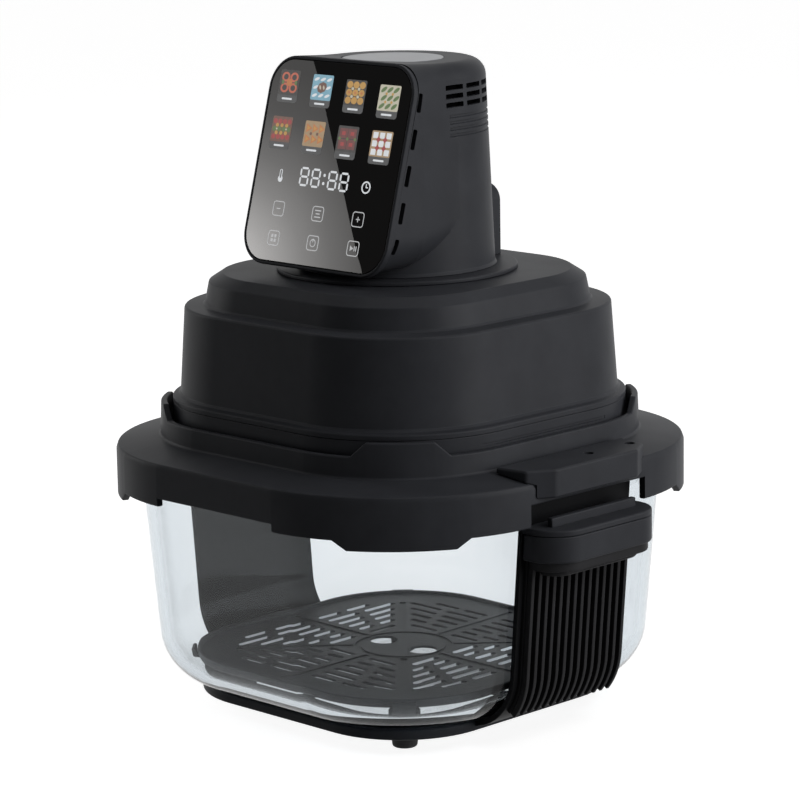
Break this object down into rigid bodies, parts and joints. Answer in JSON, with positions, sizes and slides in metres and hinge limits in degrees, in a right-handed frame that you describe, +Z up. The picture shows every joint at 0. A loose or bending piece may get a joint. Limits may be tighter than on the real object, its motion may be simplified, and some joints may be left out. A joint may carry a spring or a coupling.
{
  "type": "glass air fryer",
  "caption": "Countertop air fryer: a clear rounded-square bowl in a cradle with ribbed arms and side handles, under an adapter ring and a lift-off heating pod with a leaning touch display.",
  "frame": {"origin": "on the floor, under the middle of the bowl and of the pod, which is the bottom centre of the bounding box", "axes": "+Z up through the bowl, the pod and the fan shaft; -Y is the front with the leaning display; +X and -X are the sides with the arms and handles"},
  "size_m": [0.299, 0.2674, 0.3452],
  "materials": {
    "black_plastic": "matte, near black",
    "dark_plastic": "matte, black",
    "grey_plastic": "satin grey",
    "rubber": "matte",
    "silicone": "soft matte",
    "clear_glass": "clear, polished",
    "black_glass": "glossy black",
    "coated_metal": "non-stick coating, fine texture",
    "steel": "brushed",
    "dark_steel": "darkened",
    "ceramic": "unglazed ceramic",
    "wool": "pressed fibre",
    "circuit_board": "green laminate",
    "brass": "plain"
  },
  "bodies": {
    "cradle": {"cradle_frame": "black_plastic", "foot_back_right": "rubber", "foot_back_left": "rubber", "foot_front_left": "rubber", "foot_front_right": "rubber", "handle_grip_right": "black_plastic", "handle_cover_right": "black_plastic", "handle_insert_right": "dark_plastic", "handle_screw_right": "steel", "handle_grip_left": "black_plastic", "handle_cover_left": "black_plastic", "handle_insert_left": "dark_plastic", "handle_screw_left": "steel"},
    "bowl": {"glass_bowl": "clear_glass"},
    "tray": {"crisper_plate": "coated_metal", "plate_bumper_back_right": "silicone", "plate_bumper_back_left": "silicone", "plate_bumper_front_left": "silicone", "plate_bumper_front_right": "silicone"},
    "ring": {"adapter_ring": "black_plastic", "ring_gasket": "silicone", "lift_block_right": "black_plastic", "lift_block_left": "black_plastic", "lift_block_screw_right_1": "dark_steel", "lift_block_screw_right_2": "dark_steel", "lift_block_screw_left_1": "dark_steel", "lift_block_screw_left_2": "dark_steel"},
    "pod": {"dome_base": "black_plastic", "dome_shell": "black_plastic", "reflector_pan": "steel", "insulation_pad": "wool", "fan_guard": "steel", "heater_coil": "dark_steel", "heater_terminals": "ceramic", "temperature_probe": "steel", "thermal_fuse": "ceramic", "safety_switch": "dark_plastic", "motor_bracket": "steel", "motor_bush": "brass", "motor_body": "dark_steel", "power_board": "circuit_board", "neck_disc": "black_plastic", "head_shell": "black_plastic", "top_insert": "grey_plastic", "power_inlet": "dark_plastic", "inlet_contacts": "brass", "display_bezel": "black_plastic", "display_glass": "black_glass", "display_board": "circuit_board", "pod_screw_back_right": "dark_steel", "pod_screw_back_left": "dark_steel", "pod_screw_front_left": "dark_steel", "pod_screw_front_right": "dark_steel"},
    "rotor": {"motor_shaft": "steel", "circulation_fan": "steel", "fan_nut": "steel", "cooling_fan": "dark_plastic"},
    "plunger": {"interlock_plunger": "grey_plastic"}
  },
  "joints": [
    {"name": "bowl_lift", "type": "slide", "parent": "cradle", "child": "bowl", "axis": [0, 0, 1], "range_m": [0, 0.15]},
    {"name": "tray_lift", "type": "slide", "parent": "bowl", "child": "tray", "axis": [0, 0, 1], "range_m": [0, 0.09]},
    {"name": "ring_lift", "type": "slide", "parent": "bowl", "child": "ring", "axis": [0, 0, 1], "range_m": [0, 0.15]},
    {"name": "pod_lift", "type": "slide", "parent": "ring", "child": "pod", "axis": [0, 0, 1], "range_m": [0, 0.15]},
    {"name": "fan_spin", "type": "hinge", "parent": "pod", "child": "rotor", "pos_m": [0, 0, 0.19], "axis": [0, 0, 1], "continuous": true},
    {"name": "plunger_slide", "type": "slide", "parent": "pod", "child": "plunger", "axis": [0, 0, 1], "range_m": [-0.002, 0]}
  ],
  "couplings": [
    {"joint": "plunger_slide", "follows": "pod_lift", "ratio": -0.013333}
  ]
}
